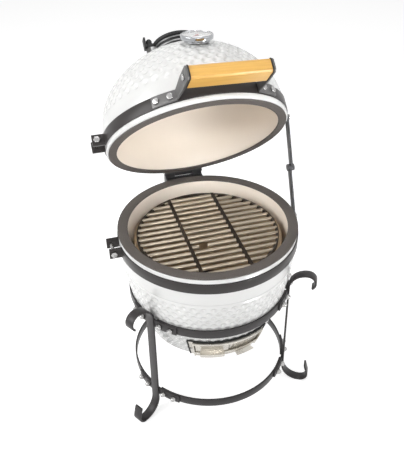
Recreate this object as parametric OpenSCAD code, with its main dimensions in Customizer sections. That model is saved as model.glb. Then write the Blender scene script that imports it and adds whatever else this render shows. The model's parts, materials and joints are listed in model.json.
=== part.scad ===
// Mini kamado grill: a ceramic bowl and hinged dome held by clamp bands, on a strap-iron stand.
// The origin is on the bowl's axis at floor level; +Z is up, the front faces -Y and the hinge is at +Y.
// The lid is shown open, resting against its folding stay.

/* [Ceramic body] */
// Height of the seam between bowl and lid above the floor
seam_z = 368; // [340:1:420]
// Outer radius of both ceramic rims
rim_r = 162; // [154:1:172]
// Thickness of the ceramic wall
wall = 17; // [15:0.5:20]
// Depth of the bowl below the seam
bowl_depth = 222; // [216:1:236]
// Radius of the arc that the bowl's side follows
belly_arc = 515; // [480:5:600]
// Depth below the seam at which the bowl's side stands upright
belly_drop = 8; // [4:1:12]
// Thickness of the bowl's bottom
floor_t = 13; // [10:0.5:16]
// Chamfer round the bowl's bottom edge
floor_chamfer = 5; // [3:0.5:8]
// Height of the dome above the seam
lid_h = 172; // [166:1:180]
// Radius of the dome's side arc
dome_side_r = 120; // [114:1:126]
// Height above the seam where the dome starts to close in
dome_side_z = 34; // [30:1:38]

/* [Gaskets] */
// Thickness of each felt gasket
gasket_h = 3; // [2.5:0.5:5]
// Overhang of the bowl's felt past the ceramic's outer edge
gasket_lip = 1; // [0.5:0.5:2]
// Distance of the lid's felt inside the ceramic's outer edge
gasket_inset = 3; // [1:0.5:5]
// Gap left between the two gaskets when the lid is shut
seam_gap = 0.3; // [0.3:0.1:1]

/* [Clamp bands] */
// Height of each band
band_h = 20; // [16:1:24]
// Thickness of the band steel
band_t = 2; // [1.5:0.5:3]
// Distance from the seam to the near edge of each band
band_drop = 11.5; // [10:0.5:14]
// Reach of the clamp ears past the band
ear_reach = 20; // [16:1:26]
// Clear distance between the two ears
ear_gap = 28; // [20:1:34]
// Thickness of the clamp ears
ear_t = 4; // [3:0.5:6]
// Diameter of the clamp bolts
clamp_bolt_d = 6; // [5:0.5:8]

/* [Hinge] */
// Distance of the hinge pin behind the band's outer face
pin_back = 12; // [11.5:0.5:16]
// Height of the hinge pin above the seam
pin_rise = 7; // [5:0.5:8]
// Diameter of the hinge pin
pin_d = 8; // [6:0.5:9]
// Outer diameter of the hinge knuckles
knuckle_d = 16; // [14:0.5:17]
// Width of the whole hinge
hinge_w = 74; // [60:1:90]
// Opening angle of the lid
lid_open = 49; // [40:1:60]

/* [Lid stay] */
// Width of the stay bars
stay_w = 13; // [11:0.5:15]
// Thickness of the stay bars
stay_t = 3; // [2:0.5:4]
// Clearance of the lower bar from the band
stay_stand = 4; // [3:0.5:6]
// Diameter of the stay's pivot studs
stud_d = 7; // [6:0.5:8]

/* [Handle] */
// Length of the bamboo grip
grip_l = 128; // [110:1:136]
// Height of the grip's section
grip_h = 22.5; // [18:0.5:26]
// Depth of the grip's section
grip_d = 34; // [28:0.5:36]
// Chamfer along the grip's edges
grip_edge = 3; // [2:0.5:5]
// Distance of the grip's axis from the lid's axis
grip_reach = 208; // [204:1:214]
// Height of the grip's axis above the seam
grip_rise = 22; // [18:1:30]
// Turn of the handle round the lid from the front
front_turn = 4; // [0:1:8]
// Thickness of the handle brackets
bracket_t = 3; // [2.5:0.5:4]
// Width of the bracket arms
bracket_w = 18; // [15:0.5:19]
// Thickness of the end pads
pad_t = 2; // [1:0.5:3]
// Spread of the bolt pair in each bracket foot
foot_bolt_pitch = 23; // [20:0.5:25]

/* [Thermometer] */
// Tilt of the thermometer from the lid's axis
gauge_tilt = 42; // [36:1:44]
// Turn of the thermometer round the lid from the front
gauge_turn = 2.5; // [0:0.5:8]
// Radius of the thermometer case
gauge_r = 27.5; // [25:0.5:30]
// Height of the thermometer case
gauge_h = 13; // [11:0.5:16]
// Length of the probe inside the dome
probe_l = 55; // [40:1:70]
// Diameter of the probe
probe_d = 6; // [5:0.5:7]

/* [Top vent] */
// Radius of the flat land on top of the dome
land_r = 48; // [45:0.5:52]
// Radius of the chimney hole
chimney_r = 35; // [31:0.5:36]
// Height of the vent's collar
collar_h = 22; // [14:0.5:26]
// Radius of the sliding cap
cap_r = 43; // [41:0.5:46]
// Thickness of the sliding cap
cap_t = 7; // [6:0.5:9]
// Distance of the cap's pivot from the chimney's axis
pivot_reach = 48; // [48:0.5:54]
// Number of air holes in the cap and its wheel
petals = 6; // [4:1:7]
// Radius of each air hole
petal_r = 6.5; // [5:0.5:7]

/* [Grates] */
// Gap between the cooking grate and the bowl's wall at the rim
grate_gap = 15; // [11:1:20]
// Depth of the cooking grate's top below the seam
grate_drop = 19; // [16:0.5:24]
// Diameter of the grate's bars
bar_d = 7; // [6:0.5:8]
// Spacing of the grate's bars
bar_pitch = 15.5; // [13:0.5:18]
// Distance of the two cross bars from the middle
cross_x = 44; // [36:1:52]
// Outer radius of the charcoal grate
coal_r = 62; // [54:1:66]

/* [Fire bowl] */
// Wall of the fire bowl
fire_wall = 14; // [12:0.5:16]
// Gap between the fire bowl and the ceramic bowl
fire_gap = 9; // [6:0.5:11]
// Height of the fire bowl's shelf above the bowl's inner floor
shelf_z = 44; // [40:1:52]
// Thickness of the fire bowl's shelf
shelf_t = 12; // [10:0.5:16]

/* [Draft door] */
// Height of the draft frame's lower edge above the bowl's bottom
frame_foot = 3; // [2:0.5:6]
// Height of the door frame
frame_h = 50; // [48:0.5:50]
// Half of the angle that the frame spans
frame_a = 32; // [30:0.5:34]
// Angle that each door spans
door_a = 26; // [23:0.5:26]
// Angle of the screw flange outside each end post
flange_a = 4; // [3:0.5:4.5]
// Thickness of the door sheet
door_t = 1.5; // [1.2:0.1:2]
// Thickness of the frame and screen sheet
sheet_t = 1.4; // [1:0.1:1.6]
// Reach of the door's box handle
tab_reach = 13; // [10:0.5:16]

/* [Stand] */
// Width of the stand's strap iron
strap_w = 17; // [14:0.5:20]
// Thickness of the stand's strap iron
strap_t = 3.5; // [3:0.5:5]
// Thickness of the ring straps and bolt tabs
ring_t = 3; // [2.5:0.5:4]
// Depth of the upper ring's top edge below the seam
upper_ring_drop = 128; // [118:1:134]
// Height of the lower ring's top edge above the floor
lower_ring_z = 61.5; // [56:0.5:90]
// Half length of the bolt tabs
tab_half = 53; // [50:1:58]
// Distance of the near stand bolt from the leg's middle
bolt_near = 20; // [17:0.5:22]
// Distance of the far stand bolt from the leg's middle
bolt_far = 42; // [38:0.5:46]
// Diameter of the stand bolts
stand_bolt_d = 6; // [5:0.5:7]
// Mean radius of the outward bend at the leg's top
bend_r = 33; // [28:1:38]
// Mean radius of the scroll that follows the bend
scroll_r = 16; // [12:0.5:20]
// Angle past level at which the scroll ends
scroll_end = 52; // [20:1:70]
// Mean radius of the leg's outward sweep above the floor
sweep_r = 35; // [30:1:42]
// Mean radius of the curled foot
curl_r = 16; // [12:0.5:20]
// Angle past upright at which the curled foot turns into its tip
tip_lean = 15; // [5:1:25]
// Turn of the whole stand under the bowl
stand_turn = 2; // [-5:0.5:5]
// Length of the foot's straight tip
tip_l = 21; // [10:1:26]

/* [Hidden] */
$fn = 96;
// Running gap between moving pieces
run = 0.3;
// Seating gap between fixed pieces
seat = 0.05;
// Radial clearance of a turning pin in its bore
bore_fit = 0.05;
// Depth of the flat worn on each foot
foot_flat = 0.5;
// Overlap of welded pieces
weld = 0.4;
// Margin by which cutting shapes pass the faces that they cut
over = 1;
// Angles of the three legs round the bowl
LEGS = [210 + stand_turn, 330 + stand_turn, 90 + stand_turn];
// Front direction round the bowl
FRONT = 270;

// Radius of the bowl's outer side at a depth below the seam, or of a surface offset from it
function bowl_r(depth, off = 0) =
    rim_r - belly_arc + sqrt(pow(belly_arc + off, 2) - pow(depth - belly_drop, 2));
// Angle in degrees of an arc length at a radius
function arc_deg(len, r) = len / r * 180 / PI;

band_r = rim_r + seat + band_t;
pin_y = band_r + pin_back;
pin_z = seam_z + pin_rise;
rim_in = rim_r - wall;
collar_drop = band_drop + band_h + 2;
lid_z0 = seam_gap + gasket_h;
// Centre and radius of the dome's crown arc, tangent to its side arc
dome_side_x = rim_r - dome_side_r;
crown_k = lid_h - dome_side_r;
crown_z = (pow(crown_k, 2) - pow(dome_side_x, 2) - pow(dome_side_z, 2)) / (2 * (crown_k - dome_side_z));
crown_r = lid_h - crown_z;
join_a = atan2(dome_side_z - crown_z, dome_side_x);
land_z = crown_z + sqrt(pow(crown_r, 2) - pow(land_r, 2));

// Stay geometry in the Y-Z plane, measured from the hinge pin
stay_base = [-pin_y, -(band_drop + band_h / 2) - pin_rise];
stay_lid_shut = [-pin_y, band_drop + band_h / 2 - pin_rise];
stay_lid = [
    stay_lid_shut[0] * cos(lid_open) + stay_lid_shut[1] * sin(lid_open),
    -stay_lid_shut[0] * sin(lid_open) + stay_lid_shut[1] * cos(lid_open)
];
stay_span = norm(stay_lid - stay_base);
stay_link = stay_span / 2;
stay_lean = atan2(stay_lid[0] - stay_base[0], stay_lid[1] - stay_base[1]);
stay_in_x = band_r + stay_stand;
stay_out_x = stay_in_x + stay_t + run;
stud_head_t = 3;
// Half the height of the hinge leaves on the bands
saddle_half = band_h / 2 - 1;
// Lengths of the hinge's knuckles along the pin, on the bowl's leaf and on the lid's
outer_knuckles = [[-hinge_w / 2, -hinge_w / 4], [hinge_w / 4, hinge_w / 2]];
inner_knuckle = [[-hinge_w / 4 + run, hinge_w / 4 - run]];

// Stand
upper_ring_z = seam_z - upper_ring_drop;
ring_in = bowl_r(seam_z - upper_ring_z) + run;
ring_out = ring_in + ring_t;
tab_out = ring_out + seat + ring_t;
leg_r = tab_out - weld + strap_t / 2;
tab_a = arc_deg(tab_half, ring_out);
arc_gap = arc_deg(strap_w / 2 + 3, ring_out);
curl_z = curl_r + strap_t / 2 - foot_flat;
foot_z = curl_z + sweep_r - curl_r;
curl_x = leg_r + sweep_r;
bend_z = upper_ring_z + 1.5;
scroll_z = bend_z + bend_r - scroll_r;
// Number of steps in each bend of a leg
arc_steps = 16;
RINGS = [upper_ring_z, lower_ring_z];

// Handle
pad_x = grip_l / 2;
pad_proud = 0.8;
arm_x = pad_x + pad_t;
foot_r = band_r + seat;
foot_a0 = asin((arm_x + bracket_t / 3) / foot_r);
foot_mid_a = foot_a0 + arc_deg(foot_bolt_pitch / 2 + 10, band_r);
foot_a1 = foot_mid_a + arc_deg(foot_bolt_pitch / 2 + 8, band_r);
band_mid = band_drop + band_h / 2;
handle_bolt_d = 6;

// Thermometer: its seat on the dome's crown
gauge_seat = crown_r + 0.8;
gauge_bezel_t = 2;
probe_r = probe_d / 2;

// Vent
collar_t = 6;
flange_t = 4;
collar_r = chimney_r + collar_t - 1;
// Two grooves round the collar
groove_d = 2;
groove_h = 5;
collar_grooves = [flange_t + 2.5, collar_h - groove_h - 2.5];
vent_seat = land_z + seat;
cap_z = vent_seat + collar_h + run;
wheel_z = cap_z + cap_t - 3 + run;
wheel_t = 3;
wheel_r = cap_r - 7;
petal_ring = wheel_r - petal_r - 4;
pivot_d = 6;
lug_r = 7.5;

// Fire bowl, grates
bowl_floor = -bowl_depth + floor_t;
fire_top = -grate_drop - bar_d - 2 - run;
fire_out = bowl_r(-fire_top) - wall - fire_gap;
fire_foot = bowl_r(-bowl_floor) - wall - fire_gap;
fire_knee = 0.4 * (fire_top + bowl_floor);
fire_mid = bowl_r(-fire_knee) - wall - fire_gap;
grate_r = rim_in - grate_gap;
grate_ring_t = 5;
grate_ring_h = 6.5;
coal_t = 6;

// Draft door: offsets from the bowl's outer side, heights from the seam
frame_in = 0.1;
screen_in = frame_in + sheet_t + run;
door_in = screen_in + sheet_t + run;
rail_out = door_in + door_t + run + sheet_t;
frame_bot = -bowl_depth + frame_foot;
frame_top = frame_bot + frame_h;
rail_t = 2;
rail_lip = 4;
post_a = 1;
door_top = frame_top - rail_t - run;
door_rail = frame_bot + 14;
door_bot = door_rail + run;
screen_bot = frame_bot + rail_t + run;
rail_a = frame_a - flange_a;
door_mid = FRONT - rail_a + post_a + 0.5 + door_a / 2;
screen_mid = 2 * FRONT - door_mid;
window_a = door_a - 4;
window_top = frame_top - 6;
window_bot = max(bowl_floor + 3, frame_bot + 9);

// Places lid pieces, drawn shut with z measured from the seam, where the open lid holds them
module on_lid() {
    translate([0, pin_y, pin_z]) rotate([-lid_open, 0, 0]) translate([0, -pin_y, -pin_rise]) children();
}

// Turns lid pieces to the handle's side of the dome
module at_front() {
    rotate([0, 0, front_turn]) children();
}

// Places thermometer pieces with their own z along the probe's axis, zero on the dome's crown arc
module at_gauge() {
    rotate([0, 0, gauge_turn]) translate([0, 0, crown_z]) rotate([gauge_tilt, 0, 0]) translate([0, 0, gauge_seat]) children();
}

// A revolved piece that spans only part of a turn, centred on an angle
module part_turn(mid, span) {
    rotate([0, 0, mid - span / 2]) rotate_extrude(angle = span) children();
}

// A flat ring
module tube(r_out, r_in, h) {
    difference() {
        cylinder(r = r_out, h = h);
        translate([0, 0, -over]) cylinder(r = r_in, h = h + 2 * over);
    }
}

// The half section inside the bowl's outer side, offset outwards by off, between two heights
module bowl2d(off, z0, z1) {
    intersection() {
        translate([rim_r - belly_arc, -belly_drop]) circle(r = belly_arc + off, $fn = 180);
        translate([0, z0]) square([rim_r + 60, z1 - z0]);
    }
}

// A sheet that follows the bowl's outer side between two offsets and two heights
module bowl_sheet2d(off0, off1, z0, z1) {
    difference() {
        bowl2d(off1, z0, z1);
        bowl2d(off0, z0 - over, z1 + over);
    }
}

// The half section of the dome, offset outwards by off, above a height
module dome2d(off, z0) {
    join_r = dome_side_x + (dome_side_r + off) * cos(join_a);
    intersection() {
        union() {
            translate([dome_side_x, dome_side_z]) circle(r = dome_side_r + off);
            intersection() {
                translate([0, crown_z]) circle(r = crown_r + off);
                square([join_r, lid_h + over]);
            }
            square([rim_r + off, dome_side_z]);
        }
        translate([0, z0]) square([rim_r + over, lid_h + over]);
    }
}

// Ceramic bowl with its draft opening
module base_shell() {
    color("white") translate([0, 0, seam_z]) difference() {
        rotate_extrude() difference() {
            union() {
                bowl2d(0, -bowl_depth, -gasket_h);
                translate([0, -collar_drop]) square([rim_r, collar_drop - gasket_h]);
            }
            bowl2d(-wall, bowl_floor, over);
            translate([bowl_r(bowl_depth), -bowl_depth]) rotate([0, 0, 45])
                square(floor_chamfer * sqrt(2), center = true);
        }
        part_turn(door_mid, window_a) translate([rim_in / 2, window_bot])
            square([rim_r, window_top - window_bot]);
    }
}

// Felt gasket on the bowl's rim
module base_gasket() {
    color("dimgray") translate([0, 0, seam_z - gasket_h])
        tube(rim_r + gasket_lip, rim_in - 0.5, gasket_h);
}

// Clamp band: a split ring with two ears at the left
module clamp_band() {
    ear_y = ear_gap / 2;
    difference() {
        tube(band_r, rim_r + seat, band_h);
        translate([-rim_r - band_t - over, -ear_y, -over])
            cube([band_t + 12, ear_gap, band_h + 2 * over]);
    }
    for (side = [0, 1]) mirror([0, side, 0]) difference() {
        translate([-band_r - ear_reach, ear_y, 0]) cube([ear_reach + band_t + 1, ear_t, band_h]);
        translate([0, 0, -over]) cylinder(r = rim_r + seat, h = band_h + 2 * over);
        clamp_shank(clamp_bolt_d / 2 + seat);
    }
}

// Axis of a clamp bolt through both ears
module clamp_shank(r) {
    translate([-band_r - ear_reach * 0.6, ear_gap / 2 + 2 * ear_t, band_h / 2]) rotate([90, 0, 0])
        cylinder(r = r, h = ear_gap + 4 * ear_t);
}

// Clamp bolt with its head at the front and its nut at the back
module clamp_bolt() {
    x = -band_r - ear_reach * 0.6;
    hex_r = clamp_bolt_d * 0.98;
    hex_t = clamp_bolt_d * 0.7;
    outer = ear_gap / 2 + ear_t + seat;
    clamp_shank(clamp_bolt_d / 2);
    translate([x, -outer, band_h / 2]) rotate([90, 0, 0]) cylinder(r = hex_r, h = hex_t, $fn = 6);
    translate([x, outer + hex_t, band_h / 2]) rotate([90, 0, 0]) cylinder(r = hex_r, h = hex_t, $fn = 6);
}

module base_band() {
    color("#333333") translate([0, 0, seam_z - band_drop - band_h]) clamp_band();
}

module base_band_bolt() {
    color("silver") translate([0, 0, seam_z - band_drop - band_h]) clamp_bolt();
}

// Hinge leaf: a saddle behind a band from z0 to z1, with knuckles that reach from mid to the pin
module hinge_leaf(mid, z0, z1, spans, others) {
    saddle_y = pin_y - knuckle_d / 4;
    difference() {
        union() {
            translate([-hinge_w / 2, 0, z0]) cube([hinge_w, saddle_y, z1 - z0]);
            for (s = spans) {
                translate([s[0], pin_y - knuckle_d / 2, min(mid, pin_rise)])
                    cube([s[1] - s[0], knuckle_d, abs(mid - pin_rise)]);
                translate([s[0], pin_y, pin_rise]) rotate([0, 90, 0])
                    cylinder(r = knuckle_d / 2, h = s[1] - s[0]);
            }
        }
        translate([0, 0, z0 - band_h]) cylinder(r = band_r + seat, h = z1 - z0 + 2 * band_h);
        translate([-hinge_w, pin_y, pin_rise]) rotate([0, 90, 0])
            cylinder(r = pin_d / 2 + bore_fit, h = 2 * hinge_w);
        for (s = others) translate([s[0] - run / 2, pin_y, pin_rise]) rotate([0, 90, 0])
            cylinder(r = knuckle_d / 2 + run, h = s[1] - s[0] + run);
    }
}

module hinge_base() {
    color("#222222") translate([0, 0, seam_z])
        hinge_leaf(-band_mid, -band_mid - saddle_half, seam_gap, outer_knuckles, inner_knuckle);
}

module hinge_lid() {
    color("#222222") on_lid()
        hinge_leaf(band_mid, band_mid - saddle_half, band_mid + saddle_half, inner_knuckle, outer_knuckles);
}

// Headed hinge pin
module hinge_pin() {
    head_t = 2;
    color("silver") translate([0, pin_y, pin_z]) rotate([0, 90, 0]) {
        translate([0, 0, -hinge_w / 2 - run]) cylinder(r = pin_d / 2, h = hinge_w + 2 * run);
        for (side = [0, 1]) mirror([0, 0, side])
            translate([0, 0, hinge_w / 2 + run]) cylinder(r = pin_d / 2 + 2, h = head_t);
    }
}

// Shouldered stud on a band that carries a stay bar of the given inner face
module stay_stud(bar_x) {
    boss_r = stud_d / 2 + 2;
    rotate([0, 90, 0]) {
        difference() {
            translate([0, 0, band_r - 4]) cylinder(r = boss_r, h = bar_x - run - band_r + 4);
            rotate([0, -90, 0]) translate([0, 0, -band_h]) cylinder(r = band_r + seat, h = 2 * band_h);
        }
        translate([0, 0, bar_x - run - over]) cylinder(r = stud_d / 2, h = stay_t + 2 * run + over);
        translate([0, 0, bar_x + stay_t + run]) cylinder(r = boss_r, h = stud_head_t);
    }
}

module stay_base_stud() {
    color("silver") translate([0, 0, seam_z - band_mid]) stay_stud(stay_in_x);
}

module stay_lid_stud() {
    color("silver") on_lid() translate([0, 0, band_mid]) stay_stud(stay_out_x);
}

// A stay bar from its stud at the origin, along +Z, with half of the middle rivet on its free end
module stay_bar(rivet_side) {
    rivet_r = stud_d / 2 + 3;
    rivet_t = 3;
    difference() {
        union() {
            translate([0, -stay_w / 2, 0]) cube([stay_t, stay_w, stay_link]);
            for (z = [0, stay_link]) translate([0, 0, z]) rotate([0, 90, 0])
                cylinder(r = stay_w / 2, h = stay_t);
            translate([rivet_side < 0 ? -rivet_t : stay_t - weld, 0, stay_link]) rotate([0, 90, 0])
                cylinder(r = rivet_r, h = rivet_t + weld);
        }
        translate([-over, 0, 0]) rotate([0, 90, 0])
            cylinder(r = stud_d / 2 + bore_fit, h = stay_t + 2 * over);
    }
}

module stay_lower() {
    color("#444444") translate([stay_in_x, pin_y + stay_base[0], pin_z + stay_base[1]])
        rotate([-stay_lean, 0, 0]) stay_bar(-1);
}

module stay_upper() {
    color("#444444") translate([stay_out_x, pin_y + stay_lid[0], pin_z + stay_lid[1]])
        rotate([180 - stay_lean, 0, 0]) stay_bar(1);
}

// Ceramic fire bowl with its shelf, air notch and slots
module fire_bowl() {
    skirt_r = fire_foot - fire_wall;
    shelf = bowl_floor + shelf_z;
    notch_h = shelf_z - shelf_t - 4;
    color("#d8c8a8") translate([0, 0, seam_z]) difference() {
        rotate_extrude() difference() {
            polygon([
                [0, bowl_floor + run], [fire_foot, bowl_floor + run], [fire_mid, fire_knee], [0, fire_knee]
            ]);
            polygon([
                [0, shelf], [skirt_r, shelf], [fire_mid - fire_wall, fire_knee],
                [fire_mid - fire_wall, fire_knee + over], [0, fire_knee + over]
            ]);
            translate([0, bowl_floor - over]) square([skirt_r, shelf_z - shelf_t + over]);
            translate([0, shelf - 2 * shelf_t]) square([coal_r - 8, 3 * shelf_t]);
            translate([0, shelf - coal_t + 1]) square([coal_r + 1, shelf_t]);
        }
        part_turn(door_mid, window_a + 10) translate([skirt_r / 2, bowl_floor - over])
            square([fire_foot, notch_h + over]);
    }
}

// Ceramic ring on the fire bowl that carries the cooking grate
module fire_ring() {
    color("#d8c8a8") translate([0, 0, seam_z]) rotate_extrude() polygon([
        [fire_mid - fire_wall, fire_knee + seat], [fire_mid, fire_knee + seat],
        [fire_out, fire_top], [fire_out - fire_wall, fire_top]
    ]);
}

// Cast charcoal grate with radial slots
module charcoal_grate() {
    slots = 10;
    slot_w = 7;
    color("#333333") translate([0, 0, seam_z + bowl_floor + shelf_z - coal_t + 1 + run]) difference() {
        cylinder(r = coal_r, h = coal_t);
        for (i = [0 : slots - 1]) rotate([0, 0, i * 360 / slots])
            translate([coal_r * 0.3, -slot_w / 2, -over]) cube([coal_r * 0.55, slot_w, coal_t + 2 * over]);
        translate([0, 0, -over]) cylinder(r = coal_r * 0.1, h = coal_t + 2 * over);
    }
}

// Welded cooking grate: a ring, parallel bars and two cross bars
module cook_grate() {
    ring_r = grate_r - grate_ring_t / 2;
    bar_z = -grate_drop - bar_d / 2 - 1;
    cross_w = 6;
    cross_h = 5.5;
    ring_z = fire_top + run;
    count = floor((ring_r - bar_d) / bar_pitch - 0.5);
    gap_bar = -3;
    gap_w = 16;
    gap_x = -20;
    color("#8a8070") translate([0, 0, seam_z]) {
        translate([0, 0, ring_z]) tube(grate_r, grate_r - grate_ring_t, grate_ring_h);
        intersection() {
            translate([0, 0, bar_z - bar_d]) cylinder(r = ring_r, h = 3 * bar_d);
            union() {
                for (i = [-count - 1 : count]) {
                    y = (i + 0.5) * bar_pitch;
                    cuts = i == gap_bar
                        ? [-grate_r, gap_x - gap_w / 2, gap_x + gap_w / 2, grate_r] : [-grate_r, grate_r];
                    for (j = [0 : 2 : len(cuts) - 2])
                        translate([cuts[j], y, bar_z]) rotate([0, 90, 0])
                            cylinder(r = bar_d / 2, h = cuts[j + 1] - cuts[j], $fn = 32);
                }
                for (x = [-cross_x, cross_x]) translate([x - cross_w / 2, -grate_r, -grate_drop - cross_h])
                    cube([cross_w, 2 * grate_r, cross_h]);
            }
        }
    }
}

// Draft door frame: a curved plate with a window, an upper and a middle rail, a sill and two end posts
module draft_frame() {
    lip_in = rail_out - sheet_t;
    sill_out = door_in + sheet_t;
    post_in = frame_in + sheet_t - weld;
    post_lap = 0.2;
    color("silver") translate([0, 0, seam_z]) difference() {
        union() {
            part_turn(FRONT, 2 * frame_a)
                bowl_sheet2d(frame_in, frame_in + sheet_t, frame_bot, frame_top);
            part_turn(FRONT, 2 * rail_a) {
                bowl_sheet2d(frame_in + sheet_t - weld, rail_out, frame_top - rail_t, frame_top - weld);
                bowl_sheet2d(lip_in, rail_out, frame_top - rail_t - rail_lip, frame_top - rail_t + weld);
                bowl_sheet2d(door_in, rail_out, door_rail - rail_t, door_rail);
                bowl_sheet2d(lip_in, rail_out, door_rail - weld, door_rail + rail_lip);
                bowl_sheet2d(frame_in + sheet_t - weld, sill_out, frame_bot + weld, frame_bot + rail_t);
                bowl_sheet2d(door_in, sill_out, frame_bot + rail_t - weld, frame_bot + rail_t + rail_lip);
            }
            for (side = [-1, 1]) part_turn(FRONT + side * (rail_a - post_a / 2 + post_lap), post_a)
                bowl_sheet2d(post_in, rail_out + weld, frame_bot + weld / 2, frame_top - weld / 2);
        }
        part_turn(door_mid, window_a)
            bowl_sheet2d(frame_in - over, frame_in + sheet_t + run / 2, window_bot, window_top);
    }
}

// Black seal round the frame's upper and side edges
module draft_seal() {
    seal_w = 3;
    seal_t = 2.5;
    side_a = arc_deg(seal_w, rim_r);
    seat_a = arc_deg(seat, rim_in);
    color("#111111") translate([0, 0, seam_z]) difference() {
        part_turn(FRONT, 2 * (frame_a + side_a))
            bowl_sheet2d(frame_in, seal_t, frame_bot, frame_top + seal_w);
        part_turn(FRONT, 2 * (frame_a + seat_a)) translate([rim_in / 2, frame_bot - over])
            square([rim_r, frame_h + over + seat]);
    }
}

// Screw heads on the frame's end flanges
module draft_screws() {
    head_r = 3;
    head_t = 1.8;
    z = (frame_bot + frame_top) / 2;
    lean = asin((-z - belly_drop) / belly_arc);
    color("gray") translate([0, 0, seam_z])
        for (side = [-1, 1]) rotate([0, 0, FRONT + side * (frame_a - flange_a / 2)])
            translate([bowl_r(-z, frame_in + sheet_t + seat), 0, z]) rotate([0, 90 + lean, 0])
                cylinder(r = head_r, h = head_t, $fn = 32);
}

// Solid sliding door with its folded box handle
module draft_door() {
    box_a = 18;
    box_z = door_bot + 13;
    box_h = 11;
    color("silver") translate([0, 0, seam_z]) {
        part_turn(door_mid, door_a) bowl_sheet2d(door_in, door_in + door_t, door_bot, door_top);
        part_turn(door_mid, box_a) {
            bowl_sheet2d(door_in + door_t - weld, door_in + tab_reach, box_z - door_t, box_z);
            bowl_sheet2d(door_in + tab_reach - door_t, door_in + tab_reach, box_z - box_h, box_z - door_t);
        }
    }
}

// Perforated sliding screen with its flat pull
module draft_screen() {
    pull_a = 15;
    pull_z = door_rail - rail_t - 3;
    rows = 5;
    cols = 9;
    hole_r = 1.6;
    pitch_z = (door_top - door_rail - 8) / rows;
    pitch_a = (door_a - 4) / cols;
    color("gray") translate([0, 0, seam_z]) {
        difference() {
            part_turn(screen_mid, door_a)
                bowl_sheet2d(screen_in, screen_in + sheet_t, screen_bot, door_top);
            for (i = [0 : cols - 1], j = [0 : rows - 1])
                rotate([0, 0, screen_mid + (i - (cols - 1) / 2) * pitch_a])
                    translate([rim_in / 2, 0, door_rail + 6 + (j + 0.5) * pitch_z]) rotate([0, 90, 0])
                        cylinder(r = hole_r, h = rim_r, $fn = 24);
        }
        part_turn(screen_mid, pull_a)
            bowl_sheet2d(screen_in + sheet_t - weld, door_in + tab_reach, pull_z - sheet_t, pull_z);
    }
}

// Angles of the four bolts that each leg carries on one ring
function bolt_angles(leg) =
    [for (b = [-bolt_far, -bolt_near, bolt_near, bolt_far]) leg + arc_deg(b, ring_out)];

// Countersunk stand bolt along +X from the ring's inner face
module stand_bolt(grow) {
    head_r = stand_bolt_d / 2 + 2.2;
    head_t = 2;
    translate([ring_in + 0.3, 0, 0]) rotate([0, 90, 0]) {
        cylinder(r = stand_bolt_d / 2 + grow, h = 2 * ring_t + 5);
        cylinder(r1 = head_r + grow, r2 = stand_bolt_d / 2 + grow, h = head_t);
    }
}

// The stand bolts of the legs given, at one ring's middle height
module ring_bolts(z_top, grow) {
    for (leg = LEGS, a = bolt_angles(leg)) translate([0, 0, z_top - strap_w / 2]) rotate([0, 0, a])
        stand_bolt(grow);
}

// Points along an arc, leaving out its first point where another arc ends there
function arc_points(cx, cz, r, a0, a1, skip = 0) =
    [for (i = [skip : arc_steps]) let (a = a0 + (a1 - a0) * i / arc_steps)
        [cx + r * cos(a), cz + r * sin(a)]];

// One side of a leg's bent strap, from the scroll's end to the foot's tip
function leg_side(off) = concat(
    arc_points(leg_r + bend_r, scroll_z, scroll_r + off, -scroll_end, 90),
    arc_points(leg_r + bend_r, bend_z, bend_r + off, 90, 180, 1),
    arc_points(curl_x, foot_z, sweep_r + off, 180, 270),
    arc_points(curl_x, curl_z, curl_r + off, 270, 360 + tip_lean, 1),
    [[
        curl_x + (curl_r + off) * cos(tip_lean) - tip_l * sin(tip_lean),
        curl_z + (curl_r + off) * sin(tip_lean) + tip_l * cos(tip_lean)
    ]]
);

// The flat outline of a leg: scroll, upright, outward sweep and curled foot
module leg2d() {
    inner = leg_side(-strap_t / 2);
    difference() {
        polygon(concat(leg_side(strap_t / 2), [for (i = [len(inner) - 1 : -1 : 0]) inner[i]]));
        translate([0, -2 * strap_t]) square([curl_x + 2 * sweep_r, 2 * strap_t]);
    }
}

// A leg with the bolt tabs welded to its inner face
module stand_leg(a) {
    color("#3a3a3d") difference() {
        rotate([0, 0, a]) union() {
            rotate([90, 0, 0]) linear_extrude(strap_w, center = true) leg2d();
            for (z_top = RINGS) translate([0, 0, z_top - strap_w]) part_turn(0, 2 * tab_a)
                translate([ring_out + seat, 0]) square([ring_t, strap_w]);
        }
        for (z_top = RINGS) ring_bolts(z_top, seat);
    }
}

module leg_left() { stand_leg(LEGS[0]); }
module leg_right() { stand_leg(LEGS[1]); }
module leg_back() { stand_leg(LEGS[2]); }

// One third of a stand ring, from one leg to the next
module ring_arc(from_leg, z_top) {
    color("#3a3a3d") difference() {
        translate([0, 0, z_top - strap_w]) part_turn(from_leg + 60, 120 - 2 * arc_gap)
            translate([ring_in, 0]) square([ring_t, strap_w]);
        ring_bolts(z_top, seat);
    }
}

module upper_arc_front() { ring_arc(LEGS[0], upper_ring_z); }
module upper_arc_right() { ring_arc(LEGS[1], upper_ring_z); }
module upper_arc_left() { ring_arc(LEGS[2], upper_ring_z); }
module lower_arc_front() { ring_arc(LEGS[0], lower_ring_z); }
module lower_arc_right() { ring_arc(LEGS[1], lower_ring_z); }
module lower_arc_left() { ring_arc(LEGS[2], lower_ring_z); }

module stand_bolts() {
    color("silver") for (z_top = RINGS) ring_bolts(z_top, 0);
}

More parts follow.
